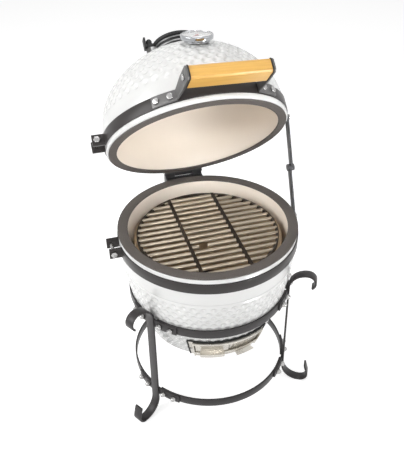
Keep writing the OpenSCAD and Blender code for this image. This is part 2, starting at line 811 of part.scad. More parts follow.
// Domed nut on a stand bolt
module dome_nut() {
    hex_r = stand_bolt_d * 0.92;
    hex_t = stand_bolt_d * 0.7;
    dome_r = hex_r * 0.84;
    rotate([0, 90, 0]) difference() {
        union() {
            cylinder(r = hex_r, h = hex_t, $fn = 6);
            translate([0, 0, hex_t]) intersection() {
                sphere(r = dome_r, $fn = 32);
                translate([-dome_r, -dome_r, -over]) cube([2 * dome_r, 2 * dome_r, 2 * dome_r]);
            }
        }
        translate([0, 0, -over]) cylinder(r = stand_bolt_d / 2 + seat, h = hex_t + over + 1.5, $fn = 32);
    }
}

module stand_nuts() {
    color("silver") for (z_top = RINGS, leg = LEGS, a = bolt_angles(leg))
        translate([0, 0, z_top - strap_w / 2]) rotate([0, 0, a]) translate([tab_out + seat, 0, 0]) dome_nut();
}

// Ceramic dome with its chimney and probe hole
module lid_shell() {
    color("white") on_lid() difference() {
        rotate_extrude() difference() {
            intersection() {
                dome2d(0, lid_z0);
                square([rim_r + over, land_z]);
            }
            dome2d(-wall, -over);
            square([chimney_r + seat, lid_h + over]);
        }
        at_gauge() translate([0, 0, -2 * wall]) cylinder(r = probe_r + 1, h = 3 * wall, $fn = 32);
    }
}

module lid_gasket() {
    color("dimgray") on_lid() translate([0, 0, seam_gap])
        tube(rim_r - gasket_inset, rim_in - 0.5, gasket_h);
}

module lid_band() {
    color("#444444") on_lid() difference() {
        translate([0, 0, band_drop]) clamp_band();
        handle_bolt_group(seat);
    }
}

module lid_band_bolt() {
    color("silver") on_lid() translate([0, 0, band_drop]) clamp_bolt();
}

// Chamfered bar along +X, larger than the grip by a margin all round
module grip_bar(margin, len) {
    half_d = grip_d / 2 + margin;
    half_h = grip_h / 2 + margin;
    cut = grip_edge;
    rotate([90, 0, 90]) linear_extrude(len) polygon([
        [-half_d, cut - half_h], [-half_d, half_h - cut], [cut - half_d, half_h], [half_d - cut, half_h],
        [half_d, half_h - cut], [half_d, cut - half_h], [half_d - cut, -half_h], [cut - half_d, -half_h]
    ]);
}

// Bamboo grip
module handle_grip() {
    color("#d9a55a") on_lid() at_front() difference() {
        translate([-grip_l / 2, -grip_reach, grip_rise]) grip_bar(0, grip_l);
        for (side = [0, 1]) mirror([side, 0, 0]) grip_screw(seat);
    }
}

// Dark pads between the grip and its brackets
module handle_pads() {
    color("#1a1410") on_lid() at_front() for (side = [0, 1]) mirror([side, 0, 0]) difference() {
        translate([pad_x + seat, -grip_reach, grip_rise]) grip_bar(pad_proud, pad_t - 2 * seat);
        grip_screw(seat);
    }
}

// Screw along the grip's axis at its right end
module grip_screw(grow) {
    shank_d = 5;
    translate([grip_l / 2 - 22, -grip_reach, grip_rise]) rotate([0, 90, 0]) {
        cylinder(r = shank_d / 2 + grow, h = 22 + pad_t + bracket_t + seat + grow, $fn = 32);
        translate([0, 0, 22 + pad_t + bracket_t + seat]) cylinder(r = shank_d, h = 3, $fn = 32);
    }
}

module handle_screws() {
    color("silver") on_lid() at_front() for (side = [0, 1]) mirror([side, 0, 0]) grip_screw(0);
}

// Bent steel bracket at the right end of the grip: a foot on the band and a side plate to the grip's end
module handle_bracket() {
    front_y = -grip_reach - grip_d / 2;
    back_y = -grip_reach + grip_d / 2;
    foot_y = -sqrt(pow(foot_r, 2) - pow(arm_x, 2)) - bracket_t / 2;
    low = grip_rise - grip_h / 2;
    high = grip_rise + grip_h / 2;
    neck = (bracket_w - 3) / 2;
    difference() {
        union() {
            translate([0, 0, band_mid - bracket_w / 2])
                part_turn(FRONT + (foot_a0 + foot_a1) / 2, foot_a1 - foot_a0)
                translate([foot_r, 0]) square([bracket_t, bracket_w]);
            translate([arm_x, 0, 0]) rotate([90, 0, 90]) linear_extrude(bracket_t) polygon([
                [front_y, low + grip_edge], [front_y, high - grip_edge], [front_y + grip_edge, high],
                [back_y, high], [foot_y, band_mid + neck], [foot_y, band_mid - neck], [back_y, low],
                [front_y + grip_edge, low]
            ]);
        }
        handle_bolt_pair(seat);
        grip_screw(seat);
    }
}

module handle_bracket_left() {
    color("gray") on_lid() at_front() mirror([1, 0, 0]) handle_bracket();
}

module handle_bracket_right() {
    color("gray") on_lid() at_front() handle_bracket();
}

// Two bolts through the right bracket's foot and the band
module handle_bolt_pair(grow) {
    head_r = handle_bolt_d * 0.85;
    for (side = [-1, 1])
        rotate([0, 0, FRONT + foot_mid_a + arc_deg(side * foot_bolt_pitch / 2, band_r)])
            translate([rim_r + 4 * seat, 0, band_mid]) rotate([0, 90, 0]) {
                cylinder(r = handle_bolt_d / 2 + grow, h = band_t + bracket_t + over, $fn = 32);
                translate([0, 0, band_t + bracket_t]) cylinder(r = head_r, h = handle_bolt_d * 0.6, $fn = 32);
            }
}

// The bolts of both handle brackets
module handle_bolt_group(grow) {
    at_front() for (side = [0, 1]) mirror([side, 0, 0]) handle_bolt_pair(grow);
}

module handle_bolts() {
    color("silver") on_lid() handle_bolt_group(0);
}

// Thermometer case with a stepped chrome bezel
module gauge_case() {
    bore_r = gauge_r - gauge_bezel_t;
    color("silver") on_lid() at_gauge() difference() {
        rotate_extrude() polygon([
            [0, 0], [gauge_r - 6, 0], [gauge_r - 6, 3], [gauge_r, 5], [gauge_r, gauge_h - 2],
            [gauge_r - 2, gauge_h], [0, gauge_h]
        ]);
        translate([0, 0, gauge_h - 6]) cylinder(r = bore_r, h = 6 + over);
        translate([0, 0, -over]) cylinder(r = probe_r + seat, h = gauge_h, $fn = 32);
    }
}

module gauge_dial() {
    color("white") on_lid() at_gauge() translate([0, 0, gauge_h - 6 + seat])
        tube(gauge_r - gauge_bezel_t - seat, probe_r + seat, 1);
}

// Pointer with its hub on the probe's end
module gauge_pointer() {
    needle_l = gauge_r - gauge_bezel_t - 6;
    needle_start = 225;
    color("#b02010") on_lid() at_gauge() translate([0, 0, gauge_h - 6 + 1 + 2 * run]) {
        rotate([0, 0, needle_start]) linear_extrude(0.8)
            polygon([[-6, -1.4], [needle_l, -0.4], [needle_l, 0.4], [-6, 1.4]]);
        cylinder(r = probe_r, h = 1.6, $fn = 32);
    }
}

module gauge_lens() {
    color("lightblue", 0.4) on_lid() at_gauge() translate([0, 0, gauge_h - 2.2])
        cylinder(r = gauge_r - gauge_bezel_t - seat, h = 1.4);
}

// Probe through the dome
module gauge_probe() {
    color("silver") on_lid() at_gauge() translate([0, 0, -wall - probe_l])
        cylinder(r = probe_r, h = wall + probe_l + gauge_h - 6 + seat, $fn = 32);
}

// Clamp nut inside the dome
module gauge_nut() {
    nut_t = 6;
    color("gray") on_lid() at_gauge() translate([0, 0, -wall - nut_t - 1.4]) difference() {
        cylinder(r = probe_d + 2, h = nut_t, $fn = 6);
        translate([0, 0, -over]) cylinder(r = probe_r + seat, h = nut_t + 2 * over, $fn = 32);
    }
}

// Cast vent base: a flange on the dome, a collar, a skirt in the chimney and a pivot lug
module vent_base() {
    skirt = wall * 0.6;
    color("#222222") on_lid() translate([0, 0, vent_seat]) difference() {
        union() {
            cylinder(r = land_r - 1, h = flange_t);
            difference() {
                cylinder(r = collar_r, h = collar_h);
                for (z = collar_grooves) translate([0, 0, z]) tube(collar_r + over, collar_r - groove_d, groove_h);
            }
            translate([0, 0, -skirt]) cylinder(r = chimney_r - run, h = skirt + 1);
            translate([-pivot_reach, 0, 0]) cylinder(r = lug_r, h = collar_h);
            translate([-pivot_reach, -lug_r, 0]) cube([pivot_reach - chimney_r - 2, 2 * lug_r, collar_h]);
        }
        translate([0, 0, -2 * skirt]) cylinder(r = chimney_r - collar_t + 1, h = 2 * skirt + 2 * collar_h);
        translate([-pivot_reach, 0, -over])
            cylinder(r = pivot_d / 2 + seat, h = collar_h + 2 * over, $fn = 32);
    }
}

// The ring of air holes, turned by an angle
module petal_holes(turn) {
    for (i = [0 : petals - 1]) rotate([0, 0, turn + i * 360 / petals])
        translate([petal_ring, 0, -over]) cylinder(r = petal_r, h = 3 * cap_t, $fn = 48);
}

// Sliding cap with a raised rim, air holes, a pivot ear and a thumb tab
module vent_cap() {
    tab_h = 20;
    tab_w = 14;
    tab_t = 3.5;
    color("#222222") on_lid() translate([0, 0, cap_z]) difference() {
        union() {
            rotate_extrude() polygon([
                [0, 0], [cap_r - 2, 0], [cap_r, 2], [cap_r, cap_t - 1.5], [cap_r - 1.5, cap_t],
                [cap_r - 4, cap_t], [cap_r - 5, cap_t - 3], [0, cap_t - 3]
            ]);
            translate([-pivot_reach, 0, 0]) cylinder(r = lug_r, h = cap_t - 1);
            translate([-pivot_reach, -lug_r, 0]) cube([pivot_reach - cap_r + 6, 2 * lug_r, cap_t - 1]);
            translate([-pivot_reach - lug_r - tab_t + 1, -tab_w / 2, 0]) cube([tab_t, tab_w, tab_h]);
            translate([-pivot_reach - lug_r - tab_t + 1, -tab_w / 2, 0])
                cube([lug_r + tab_t - pivot_d / 2 - 3, tab_w, cap_t - 1]);
        }
        petal_holes(0);
        translate([-pivot_reach, 0, -over])
            cylinder(r = pivot_d / 2 + bore_fit, h = cap_t + 2 * over, $fn = 32);
        translate([0, 0, -over]) cylinder(r = pivot_d / 2 + seat, h = cap_t + 2 * over, $fn = 32);
    }
}

// Air wheel that covers or clears the cap's holes
module vent_wheel() {
    grip_h = 6;
    color("#2a2a2a") on_lid() translate([0, 0, wheel_z]) difference() {
        union() {
            cylinder(r = wheel_r, h = wheel_t);
            cylinder(r = pivot_d / 2 + 4, h = wheel_t + 2, $fn = 48);
            rotate([0, 0, -30]) translate([wheel_r - 6, -1.5, 0]) cube([5, 3, wheel_t + grip_h]);
        }
        petal_holes(180 / petals);
        translate([0, 0, -over])
            cylinder(r = pivot_d / 2 + bore_fit, h = wheel_t + 2 + 2 * over, $fn = 32);
    }
}

// Pivot bolt of the cap with its tall domed nut
module vent_pivot() {
    nut_h = 12;
    top = cap_z + cap_t - 1 + run;
    color("#333333") on_lid() translate([-pivot_reach, 0, 0]) {
        translate([0, 0, vent_seat + 1]) cylinder(r = pivot_d / 2, h = top - vent_seat, $fn = 32);
        translate([0, 0, top]) cylinder(r = pivot_d * 0.9, h = nut_h - pivot_d * 0.9, $fn = 32);
        translate([0, 0, top + nut_h - pivot_d * 0.9]) sphere(r = pivot_d * 0.9, $fn = 32);
    }
}

// Stud that holds the wheel on the cap
module wheel_stud() {
    top = wheel_z + wheel_t + 2 + run;
    color("silver") on_lid() {
        translate([0, 0, cap_z]) cylinder(r = pivot_d / 2, h = top - cap_z + 1, $fn = 32);
        translate([0, 0, top]) cylinder(r = pivot_d / 2 + 3, h = 3, $fn = 32);
    }
}

base_shell();
base_gasket();
base_band();
base_band_bolt();
hinge_base();
hinge_pin();
stay_base_stud();
fire_bowl();
fire_ring();
charcoal_grate();
cook_grate();
draft_frame();
draft_seal();
draft_screws();
draft_door();
draft_screen();
leg_left();
leg_right();
leg_back();
upper_arc_front();
upper_arc_right();
upper_arc_left();
lower_arc_front();
lower_arc_right();
lower_arc_left();
stand_bolts();
stand_nuts();
lid_shell();
lid_gasket();
lid_band();
lid_band_bolt();
hinge_lid();
stay_lid_stud();
stay_lower();
stay_upper();
handle_grip();
handle_pads();
handle_bracket_left();
handle_bracket_right();
handle_screws();
handle_bolts();
gauge_case();
gauge_dial();
gauge_pointer();
gauge_lens();
gauge_probe();
gauge_nut();
vent_base();
vent_cap();
vent_wheel();
vent_pivot();
wheel_stud();
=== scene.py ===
"""Looks of a mini kamado grill: dimpled white ceramic on a strap-iron stand, with its lid held open."""

import json
import logging
import math
from dataclasses import dataclass
from enum import Enum
from typing import Callable, Iterable, Optional, Sequence, Union

import bmesh
import bpy
from mathutils import Matrix, Vector


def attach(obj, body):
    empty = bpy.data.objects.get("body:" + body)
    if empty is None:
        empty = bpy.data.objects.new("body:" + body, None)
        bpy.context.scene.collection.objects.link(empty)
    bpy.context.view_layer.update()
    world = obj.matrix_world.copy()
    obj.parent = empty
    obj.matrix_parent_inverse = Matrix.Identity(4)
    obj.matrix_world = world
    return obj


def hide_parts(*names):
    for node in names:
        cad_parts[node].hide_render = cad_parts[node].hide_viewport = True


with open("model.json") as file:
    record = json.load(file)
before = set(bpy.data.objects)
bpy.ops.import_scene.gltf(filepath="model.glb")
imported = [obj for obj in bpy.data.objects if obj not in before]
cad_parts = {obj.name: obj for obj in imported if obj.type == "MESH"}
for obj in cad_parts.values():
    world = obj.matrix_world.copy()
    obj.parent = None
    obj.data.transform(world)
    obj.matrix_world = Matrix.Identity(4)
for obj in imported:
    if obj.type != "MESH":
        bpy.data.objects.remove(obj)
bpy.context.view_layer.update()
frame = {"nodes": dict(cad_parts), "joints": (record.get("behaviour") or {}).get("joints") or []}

LOG = logging.getLogger("kamado")
MM = 0.001
JOINTS = {joint["name"]: joint for joint in frame["joints"]}
PIN_RISE = 7 * MM
SEAM_Z = JOINTS["lid_hinge"]["pos_m"][2] - PIN_RISE

# Distances under which vertices are taken as one, and as lying on a surface.
CAD_MERGE = 2e-6
SPIN_MERGE = 1e-6
PRINT_MERGE = 1e-7
ON_SURFACE = 1e-5

# A CAD copy's edges flatter than the first are dissolved and those sharper than the second are rounded.
FLAT_DEG = 0.6
SHARP_DEG = 34.0

BUMP_SHARE = 0.2
GLASS_IOR = 1.45
CERAMIC_SMOOTH_DEG = 50.0

Triple = tuple[float, float, float]
Point2 = tuple[float, float]
Socket = bpy.types.NodeSocket


class Texture(Enum):
    """How a finish varies over its surface."""

    MOTTLED = "mottled"
    BRUSHED = "brushed"
    FELT = "felt"
    CAST = "cast"
    BAMBOO = "bamboo"


@dataclass(frozen=True)
class Pattern:
    """The noise behind a texture.

    Args:
        detail: Number of finer layers.
        roughness: Weight of the finer layers.
        stretch: Scale along each axis, where a small one draws the pattern out.
        tint: Colour that the pattern's hollows tend to.
    """

    detail: float = 3.0
    roughness: float = 0.5
    stretch: Optional[Triple] = None
    tint: Triple = (0.0, 0.0, 0.0)


PATTERNS = {
    Texture.MOTTLED: Pattern(),
    Texture.BRUSHED: Pattern(stretch=(0.06, 0.06, 1.0)),
    Texture.FELT: Pattern(detail=6.0, roughness=0.7),
    Texture.CAST: Pattern(detail=6.0),
    Texture.BAMBOO: Pattern(stretch=(0.05, 1.0, 1.0), tint=(0.45, 0.18, 0.03)),
}


@dataclass(frozen=True)
class Finish:
    """One material of the grill.

    Args:
        name: Its name, from which Blender's name for the material is made.
        slot: The record's material slot. Not used.
        colour: Linear base colour.
        roughness: Middle of the roughness range.
        metallic: 1 for bare metal.
        texture: The pattern that varies colour, roughness and height.
        grain: Size of the pattern's features in metres.
        shade: Share by which the colour darkens in the pattern's hollows.
        rough_shift: Half of the roughness range.
        relief: Strength of the bump, 0 for none.
        specular: Level of the surface reflection of paint.
        coat: Weight of a clear coat.
        coat_roughness: Roughness of that coat.
        glass: True for a clear lens.
    """

    name: str
    slot: str
    colour: Triple
    roughness: float
    metallic: float = 0.0
    texture: Texture = Texture.MOTTLED
    grain: float = 0.02
    shade: float = 0.06
    rough_shift: float = 0.04
    relief: float = 0.0
    specular: float = 0.5
    coat: float = 0.0
    coat_roughness: float = 0.08
    glass: bool = False

    def material(self) -> bpy.types.Material:
        """Makes the finish's material at its first use.

        Returns:
            The material, whose name differs from those that come with the frame.
        """
        label = f"look_{self.name}"
        known = bpy.data.materials.get(label)
        if known is not None:
            return known
        made = bpy.data.materials.new(label)
        made.use_nodes = True
        tree = made.node_tree
        shader = tree.nodes["Principled BSDF"]
        shader.inputs["Metallic"].default_value = self.metallic
        shader.inputs["Specular IOR Level"].default_value = self.specular
        shader.inputs["Coat Weight"].default_value = self.coat
        shader.inputs["Coat Roughness"].default_value = self.coat_roughness
        if self.glass:
            shader.inputs["Base Color"].default_value = (*self.colour, 1.0)
            shader.inputs["Roughness"].default_value = self.roughness
            shader.inputs["Transmission Weight"].default_value = 1.0
            shader.inputs["IOR"].default_value = GLASS_IOR
            return made
        pattern = tree.nodes.new("ShaderNodeGroup")
        pattern.node_tree = pattern_group(self.texture)
        pattern.inputs["Colour"].default_value = (*self.colour, 1.0)
        pattern.inputs["Roughness"].default_value = self.roughness
        pattern.inputs["Grain"].default_value = self.grain
        pattern.inputs["Shade"].default_value = self.shade
        pattern.inputs["Roughness shift"].default_value = self.rough_shift
        tree.links.new(pattern.outputs["Colour"], shader.inputs["Base Color"])
        tree.links.new(pattern.outputs["Roughness"], shader.inputs["Roughness"])
        if self.relief > 0.0:
            bump = tree.nodes.new("ShaderNodeBump")
            bump.inputs["Strength"].default_value = self.relief
            bump.inputs["Distance"].default_value = self.grain * BUMP_SHARE
            tree.links.new(pattern.outputs["Height"], bump.inputs["Height"])
            tree.links.new(bump.outputs["Normal"], shader.inputs["Normal"])
        return made


GLAZE = Finish("white_glaze", "glaze", (0.76, 0.76, 0.75), 0.16, grain=0.05, shade=0.02, coat=0.5)
CREAM = Finish("cream_glaze", "glaze", (0.93, 0.845, 0.745), 0.42, grain=0.06, shade=0.05, rough_shift=0.08)
FIRECLAY = Finish("fireclay", "fireclay", (0.50, 0.38, 0.25), 0.85, grain=0.012, shade=0.25, relief=0.3)
FELT = Finish("felt", "felt", (0.150, 0.133, 0.122), 0.95, texture=Texture.FELT, grain=0.002, shade=0.5,
              relief=0.6)
BAND = Finish("band_paint", "band_paint", (0.033, 0.029, 0.028), 0.34, grain=0.03, shade=0.10,
              rough_shift=0.06, specular=0.3)
HINGE = Finish("hinge_paint", "hinge_paint", (0.018, 0.018, 0.019), 0.38, grain=0.02, shade=0.15)
STEEL = Finish("bright_steel", "fastener", (0.46, 0.455, 0.45), 0.26, 1.0, grain=0.006, shade=0.10)
STAY = Finish("stay_steel", "stay_steel", (0.075, 0.075, 0.080), 0.40, 0.3, grain=0.02, shade=0.12)
STAND = Finish("stand_paint", "stand_paint", (0.044, 0.040, 0.041), 0.36, grain=0.02, shade=0.10,
               relief=0.05, specular=0.3)
BAMBOO = Finish("bamboo", "bamboo", (0.86, 0.53, 0.13), 0.42, texture=Texture.BAMBOO, grain=0.0028, shade=0.5,
                coat=0.35, coat_roughness=0.26)
PAD = Finish("end_pad", "pad", (0.016, 0.012, 0.010), 0.6, shade=0.2)
BRACKET = Finish("bracket_steel", "bracket_steel", (0.16, 0.157, 0.155), 0.42, 0.5, texture=Texture.BRUSHED,
                 grain=0.0015, shade=0.2)
# The door steel's warm tint is a painted reflection, not the steel's own colour.
DOOR = Finish("door_steel", "door_steel", (0.66, 0.63, 0.575), 0.28, 1.0, texture=Texture.BRUSHED,
              grain=0.0012, shade=0.12, rough_shift=0.07)
SEAL = Finish("door_seal", "seal", (0.012, 0.012, 0.012), 0.7, shade=0.2)
CHROME = Finish("chrome", "gauge_chrome", (0.45, 0.46, 0.475), 0.09, 1.0, grain=0.03, shade=0.03,
                rough_shift=0.02)
DIAL = Finish("dial_paint", "dial_paint", (0.82, 0.82, 0.80), 0.5, shade=0.03)
INK = Finish("dial_ink", "dial_paint", (0.012, 0.012, 0.012), 0.5, shade=0.0)
POINTER = Finish("pointer_paint", "pointer_paint", (0.50, 0.03, 0.02), 0.4)
LENS = Finish("gauge_glass", "gauge_glass", (1.0, 1.0, 1.0), 0.02, glass=True)
CAST = Finish("cast_iron", "cast", (0.022, 0.022, 0.023), 0.48, 0.35, texture=Texture.CAST, grain=0.003,
              shade=0.3, rough_shift=0.08, relief=0.25)
VENT_BASE = Finish("vent_base_metal", "cast", (0.34, 0.34, 0.34), 0.3, 0.9, texture=Texture.CAST,
                   grain=0.003, shade=0.4, rough_shift=0.08, relief=0.15)
LUG = Finish("vent_lug_metal", "cast", (0.10, 0.098, 0.096), 0.45, 0.6, texture=Texture.CAST, grain=0.003,
             shade=0.3, rough_shift=0.08, relief=0.2)
# The grate steel's beige tint is a painted reflection of the cream ceramic round it.
GRATE = Finish("grate_steel", "grate_steel", (0.52, 0.45, 0.355), 0.42, 0.7, grain=0.012, shade=0.25,
               rough_shift=0.08)
# Painted shade: near-black steel laid on the cooking grate's ring and cross bars.
GRATE_PAINTED_SHADE = Finish("grate_painted_shade", "grate_steel", (0.055, 0.045, 0.036), 0.4, 0.9, grain=0.012,
                    shade=0.3, rough_shift=0.08)
COAL = Finish("coal_cast", "coal_cast", (0.030, 0.027, 0.025), 0.7, 0.2, texture=Texture.CAST, grain=0.003,
              shade=0.3, relief=0.4)


def math_node(tree: bpy.types.NodeTree, operation: str, *values: Union[float, Socket]) -> Socket:
    """Adds a Math node.

    Args:
        tree: The nodes to add it to.
        operation: Blender's name for the operation.
        values: Numbers to set, or sockets to link, on its inputs in order.

    Returns:
        Its output.
    """
    node = tree.nodes.new("ShaderNodeMath")
    node.operation = operation
    for socket, value in zip(node.inputs, values):
        if isinstance(value, bpy.types.NodeSocket):
            tree.links.new(value, socket)
        else:
            socket.default_value = value
    return node.outputs[0]


def pattern_group(texture: Texture) -> bpy.types.NodeTree:
    """Makes the node group that varies a finish over its surface.

    Args:
        texture: The kind of variation.

    Returns:
        The group, shared by every finish of that texture.
    """
    name = f"pattern_{texture.value}"
    known = bpy.data.node_groups.get(name)
    if known is not None:
        return known
    pattern = PATTERNS[texture]
    group = bpy.data.node_groups.new(name, "ShaderNodeTree")
    colour, value = "NodeSocketColor", "NodeSocketFloat"
    given_sockets = (("Colour", colour), ("Roughness", value), ("Grain", value), ("Shade", value),
                     ("Roughness shift", value))
    made_sockets = (("Colour", colour), ("Roughness", value), ("Height", value))
    for direction, sockets in (("INPUT", given_sockets), ("OUTPUT", made_sockets)):
        for label, kind in sockets:
            group.interface.new_socket(label, in_out=direction, socket_type=kind)
    nodes, links = group.nodes, group.links
    given, made = nodes.new("NodeGroupInput").outputs, nodes.new("NodeGroupOutput").inputs
    place = nodes.new("ShaderNodeTexCoord").outputs["Object"]
    if texture is Texture.BAMBOO:
        turn = nodes.new("ShaderNodeMapping")
        turn.vector_type = "TEXTURE"
        turn.inputs["Rotation"].default_value = (LID.matrix() @ LID.front()).to_euler()
        links.new(place, turn.inputs["Vector"])
        place = turn.outputs["Vector"]
    if pattern.stretch is not None:
        stretch = nodes.new("ShaderNodeMapping")
        stretch.inputs["Scale"].default_value = pattern.stretch
        links.new(place, stretch.inputs["Vector"])
        place = stretch.outputs["Vector"]
    noise = nodes.new("ShaderNodeTexNoise")
    noise.inputs["Detail"].default_value = pattern.detail
    noise.inputs["Roughness"].default_value = pattern.roughness
    links.new(place, noise.inputs["Vector"])
    links.new(math_node(group, "DIVIDE", 1.0, given["Grain"]), noise.inputs["Scale"])
    mask = noise.outputs["Fac"]
    tint = nodes.new("ShaderNodeMixRGB")
    tint.blend_type = "MULTIPLY"
    tint.inputs["Color2"].default_value = (*pattern.tint, 1.0)
    links.new(math_node(group, "MULTIPLY", mask, given["Shade"]), tint.inputs["Fac"])
    links.new(given["Colour"], tint.inputs["Color1"])
    centred = math_node(group, "MULTIPLY_ADD", mask, 2.0, -1.0)
    rough = math_node(group, "MULTIPLY_ADD", centred, given["Roughness shift"], given["Roughness"])
    links.new(tint.outputs["Color"], made["Colour"])
    links.new(rough, made["Roughness"])
    links.new(mask, made["Height"])
    return group


def add_piece(mesh_maker: bmesh.types.BMesh, name: str, body: str, finishes: Sequence[Finish],
              replaced: Iterable[str] = (), smooth_deg: float = 40.0) -> bpy.types.Object:
    """Turns a bmesh into a piece that rides on a body.

    Args:
        mesh_maker: The finished bmesh, in the row frame; it is freed.
        name: The piece's name.
        body: The CAD body that it moves with.
        finishes: Its finishes, by material index.
        replaced: CAD nodes that it stands for.
        smooth_deg: Edges sharper than this stay crisp.

    Returns:
        The piece.
    """
    mesh = bpy.data.meshes.new(name)
    mesh_maker.to_mesh(mesh)
    mesh_maker.free()
    mesh.shade_smooth()
    mesh.set_sharp_from_angle(angle=math.radians(smooth_deg))
    piece = bpy.data.objects.new(name, mesh)
    bpy.context.scene.collection.objects.link(piece)
    for finish in finishes:
        mesh.materials.append(finish.material())
    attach(piece, body)
    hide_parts(*replaced)
    LOG.info("%s on %s: %d faces", name, body, len(mesh.polygons))
    return piece


def soften(node: str, body: str, finish: Finish, width: float, segments: int = 2) -> bpy.types.Object:
    """Rounds the edges of a copy of a CAD node.

    Args:
        node: The CAD node.
        body: The body that the node belongs to.
        finish: Its finish.
        width: Width of the rounding in metres.
        segments: Steps across the rounding.

    Returns:
        The rounded piece, which stands for the node.
    """
    shape = bmesh.new()
    shape.from_mesh(frame["nodes"][node].data)
    bmesh.ops.remove_doubles(shape, verts=shape.verts, dist=CAD_MERGE)
    bmesh.ops.dissolve_limit(shape, angle_limit=math.radians(FLAT_DEG), verts=shape.verts, edges=shape.edges)
    limit = math.radians(SHARP_DEG)
    sharp = [edge for edge in shape.edges if edge.is_manifold and edge.calc_face_angle(0.0) > limit]
    bmesh.ops.bevel(shape, geom=sharp, offset=width, offset_type="OFFSET", segments=segments, profile=0.5,
                    affect="EDGES", clamp_overlap=True, material=-1)
    return add_piece(shape, f"{node}_dressed", body, [finish], [node])


def paint(piece: bpy.types.Object, finish: Finish, chosen: Callable[[Vector], bool]) -> None:
    """Gives another finish to some faces of a piece.

    Args:
        piece: The piece.
        finish: The finish.
        chosen: Tells of the middle of an edge whether it is in the finish's reach. A face with all of its
            edges in reach gets the finish.
    """
    mesh = piece.data
    mesh.materials.append(finish.material())
    places = [vert.co for vert in mesh.vertices]
    for face in mesh.polygons:
        if all(chosen((places[a] + places[b]) / 2) for a, b in face.edge_keys):
            face.material_index = len(mesh.materials) - 1


def spin_profile(points: Sequence[Point2], steps: int, closed: bool) -> bmesh.types.BMesh:
    """Revolves a half section about the Z axis.

    Args:
        points: Radius and height pairs in order.
        steps: Number of columns in the full turn.
        closed: True if the last point joins the first.

    Returns:
        The revolved surface with its poles closed and its faces outwards.
    """
    shape = bmesh.new()
    ring = [shape.verts.new((r, 0.0, z)) for r, z in points]
    pairs = list(zip(ring, ring[1:])) + ([(ring[-1], ring[0])] if closed else [])
    edges = [shape.edges.new(pair) for pair in pairs]
    bmesh.ops.spin(shape, geom=ring + edges, cent=(0, 0, 0), axis=(0, 0, 1), angle=math.tau, steps=steps,
                   use_merge=True)
    bmesh.ops.remove_doubles(shape, verts=shape.verts, dist=SPIN_MERGE)
    bmesh.ops.recalc_face_normals(shape, faces=shape.faces)
    return shape


def steps_between(start: float, end: float, pitch: float) -> list[float]:
    """Divides a range evenly.

    Args:
        start: The first value.
        end: The last value.
        pitch: About how far apart the values are.

    Returns:
        The values, both ends included.
    """
    count = max(1, round(abs(end - start) / pitch))
    return [start + (end - start) * i / count for i in range(count + 1)]


def steps_through(stops: Sequence[float], pitches: Sequence[float]) -> list[float]:
    """Divides the ranges between stops, each by its own pitch.

    Args:
        stops: The stops in order.
        pitches: The pitch between each stop and the next.

    Returns:
        The values, with each stop once.
    """
    values = [stops[0]]
    for start, end, pitch in zip(stops, stops[1:], pitches):
        values += steps_between(start, end, pitch)[1:]
    return values


@dataclass
class Dimples:
    """A staggered field of round hollows over a revolved surface.

    Args:
        first: Distance along the section at which the field starts.
        last: Distance at which it ends.
        radius_at: Gives the surface's radius at a distance along the section.
        pitch: Spacing of the hollows along a row.
        rise: Spacing of the rows.
        hollow_r: Radius of a hollow.
        depth: Depth of a hollow.
        fall: Power that shapes a hollow's side.
        multiple: The number of hollows in a row is a multiple of this.
    """

    first: float
    last: float
    radius_at: Callable[[float], float]
    pitch: float = 17.5 * MM
    rise: float = 10.7 * MM
    hollow_r: float = 6.3 * MM
    depth: float = 2.7 * MM
    fall: float = 1.5
    multiple: int = 6

    def depth_at(self, along: float, turn: float) -> float:
        """Depth of the field at a point.

        Args:
            along: Distance along the section.
            turn: Angle round the axis.

        Returns:
            The depth, 0 outside the hollows.
        """
        rows = int((self.last - self.first) / self.rise)
        near = int((along - self.first) / self.rise)
        deepest = 0.0
        for row in range(max(0, near - 1), min(rows, near + 2)):
            middle = self.first + (row + 0.5) * self.rise
            radius = self.radius_at(middle)
            count = self.multiple * max(1, round(math.tau * radius / (self.pitch * self.multiple)))
            step = math.tau / count
            offset = 0.5 * step * (row % 2)
            across = (turn - offset + 0.5 * step) % step - 0.5 * step
            square = (across * radius) ** 2 + (along - middle) ** 2
            share = 1.0 - square / self.hollow_r**2
            if share > 0.0:
                deepest = max(deepest, self.depth * share**self.fall)
        return deepest


@dataclass
class LidFrame:
    """Where the open lid holds its pieces, which are drawn shut.

    Args:
        front_turn_deg: Turn of the handle round the lid.
        gauge_turn_deg: Turn of the thermometer round the lid.
        gauge_tilt_deg: Tilt of the thermometer from the lid's axis.
    """

    front_turn_deg: float = 4.0
    gauge_turn_deg: float = 2.5
    gauge_tilt_deg: float = 42.0

    def matrix(self) -> Matrix:
        """Returns the transform from the shut lid, in the row frame, to the open one."""
        pin = Vector(JOINTS["lid_hinge"]["pos_m"])
        opening = -math.radians(JOINTS["lid_hinge"]["range_deg"][1])
        return Matrix.Translation(pin) @ Matrix.Rotation(opening, 4, "X") @ Matrix.Translation(-pin)

    def front(self) -> Matrix:
        """Returns the turn from straight ahead to the handle's side."""
        return Matrix.Rotation(math.radians(self.front_turn_deg), 4, "Z")

    def gauge(self) -> Matrix:
        """Returns the turn from the lid's axis to the thermometer's."""
        turn = Matrix.Rotation(math.radians(self.gauge_turn_deg), 4, "Z")
        return turn @ Matrix.Rotation(math.radians(self.gauge_tilt_deg), 4, "X")


LID = LidFrame()


